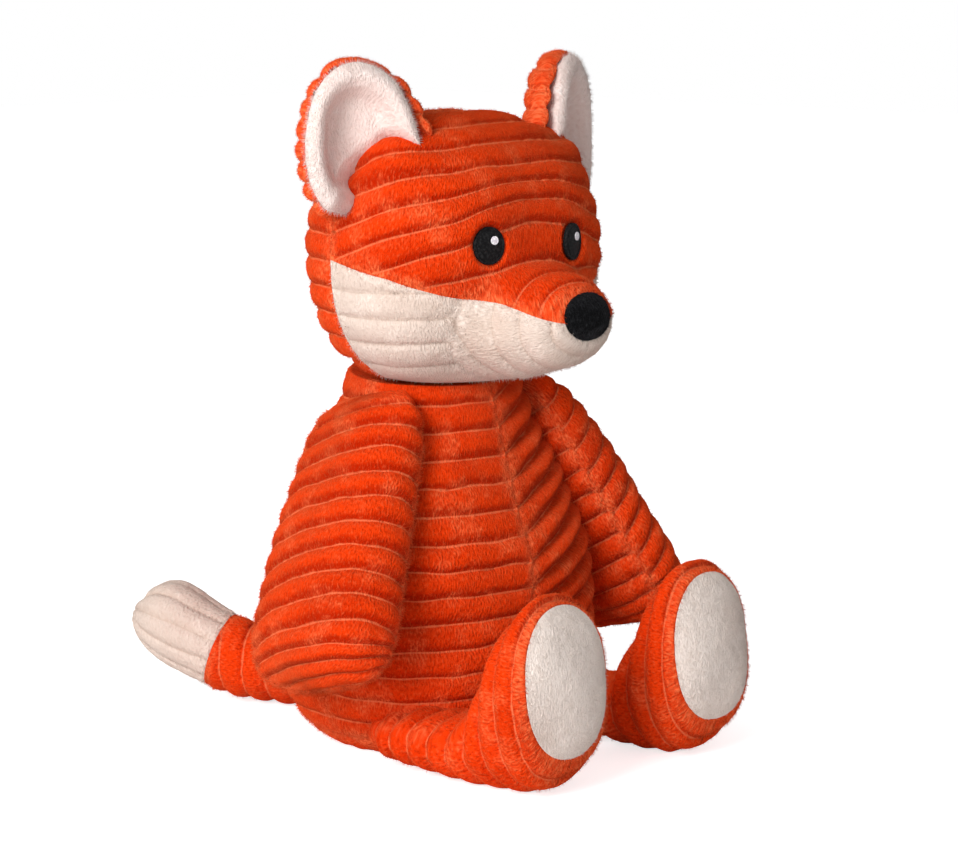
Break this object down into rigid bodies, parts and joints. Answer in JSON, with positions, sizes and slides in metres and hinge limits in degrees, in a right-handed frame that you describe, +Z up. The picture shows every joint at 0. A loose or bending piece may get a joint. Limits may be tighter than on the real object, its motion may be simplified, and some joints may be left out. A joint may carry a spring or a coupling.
{
  "type": "plush fox",
  "caption": "Seated plush fox of wide-ribbed plush, with soft head, arms, legs and tail that give at their sewn joints.",
  "frame": {"origin": "on the floor, at the middle of the flat seat under the torso", "axes": "+Z up, the fox faces -Y, its left side is +X"},
  "size_m": [0.2114, 0.2558, 0.2793],
  "materials": {
    "orange_plush": "wide-ribbed short-pile plush",
    "cream_plush": "wide-ribbed short-pile plush",
    "smooth_plush": "smooth short-pile plush",
    "black_plush": "short-pile plush",
    "black_thread": "satin-stitch embroidery",
    "white_thread": "satin-stitch embroidery",
    "filling": "polyester fibre filling",
    "beads": "bag of small beads"
  },
  "bodies": {
    "torso": {"torso_front_right": "orange_plush", "torso_front_left": "orange_plush", "torso_back_right": "orange_plush", "torso_back_left": "orange_plush", "seat_base": "orange_plush", "torso_filling": "filling", "seat_bead_bag": "beads"},
    "head": {"face_panel": "orange_plush", "head_back": "orange_plush", "ear_back_right": "orange_plush", "ear_back_left": "orange_plush", "cheek_right": "cream_plush", "cheek_left": "cream_plush", "muzzle_side_right": "cream_plush", "muzzle_side_left": "cream_plush", "ear_lining_right": "smooth_plush", "ear_lining_left": "smooth_plush", "nose_patch": "black_plush", "eye_right": "black_thread", "eye_left": "black_thread", "eye_glint_right": "white_thread", "eye_glint_left": "white_thread", "head_filling": "filling"},
    "arm_right": {"arm_outer_right": "orange_plush", "arm_inner_right": "orange_plush", "arm_filling_right": "filling"},
    "leg_right": {"leg_cover_right": "orange_plush", "sole_right": "smooth_plush", "leg_filling_right": "filling"},
    "arm_left": {"arm_outer_left": "orange_plush", "arm_inner_left": "orange_plush", "arm_filling_left": "filling"},
    "leg_left": {"leg_cover_left": "orange_plush", "sole_left": "smooth_plush", "leg_filling_left": "filling"},
    "tail": {"tail_cover": "orange_plush", "tail_tip": "cream_plush", "tail_filling": "filling"}
  },
  "joints": [
    {"name": "neck_turn", "type": "hinge", "parent": "torso", "child": "head", "pos_m": [0, -0.003, 0.14865], "axis": [0, 0, 1], "range_deg": [-25, 25], "stiffness_Nm_per_rad": 0.03},
    {"name": "shoulder_right", "type": "hinge", "parent": "torso", "child": "arm_right", "pos_m": [-0.03796, -0.0055, 0.143], "axis": [0, 1, 0], "range_deg": [0, 45]},
    {"name": "hip_right", "type": "hinge", "parent": "torso", "child": "leg_right", "pos_m": [-0.0435, -0.04536, 0.014], "axis": [-1, 0, 0], "range_deg": [0, 30]},
    {"name": "shoulder_left", "type": "hinge", "parent": "torso", "child": "arm_left", "pos_m": [0.03796, -0.0055, 0.143], "axis": [0, -1, 0], "range_deg": [0, 45]},
    {"name": "hip_left", "type": "hinge", "parent": "torso", "child": "leg_left", "pos_m": [0.0435, -0.04536, 0.014], "axis": [-1, 0, 0], "range_deg": [0, 30]},
    {"name": "tail_swing", "type": "hinge", "parent": "torso", "child": "tail", "pos_m": [0, 0.04763, 0.0155], "axis": [0, 0, 1], "range_deg": [-45, 15], "stiffness_Nm_per_rad": 0.02}
  ]
}
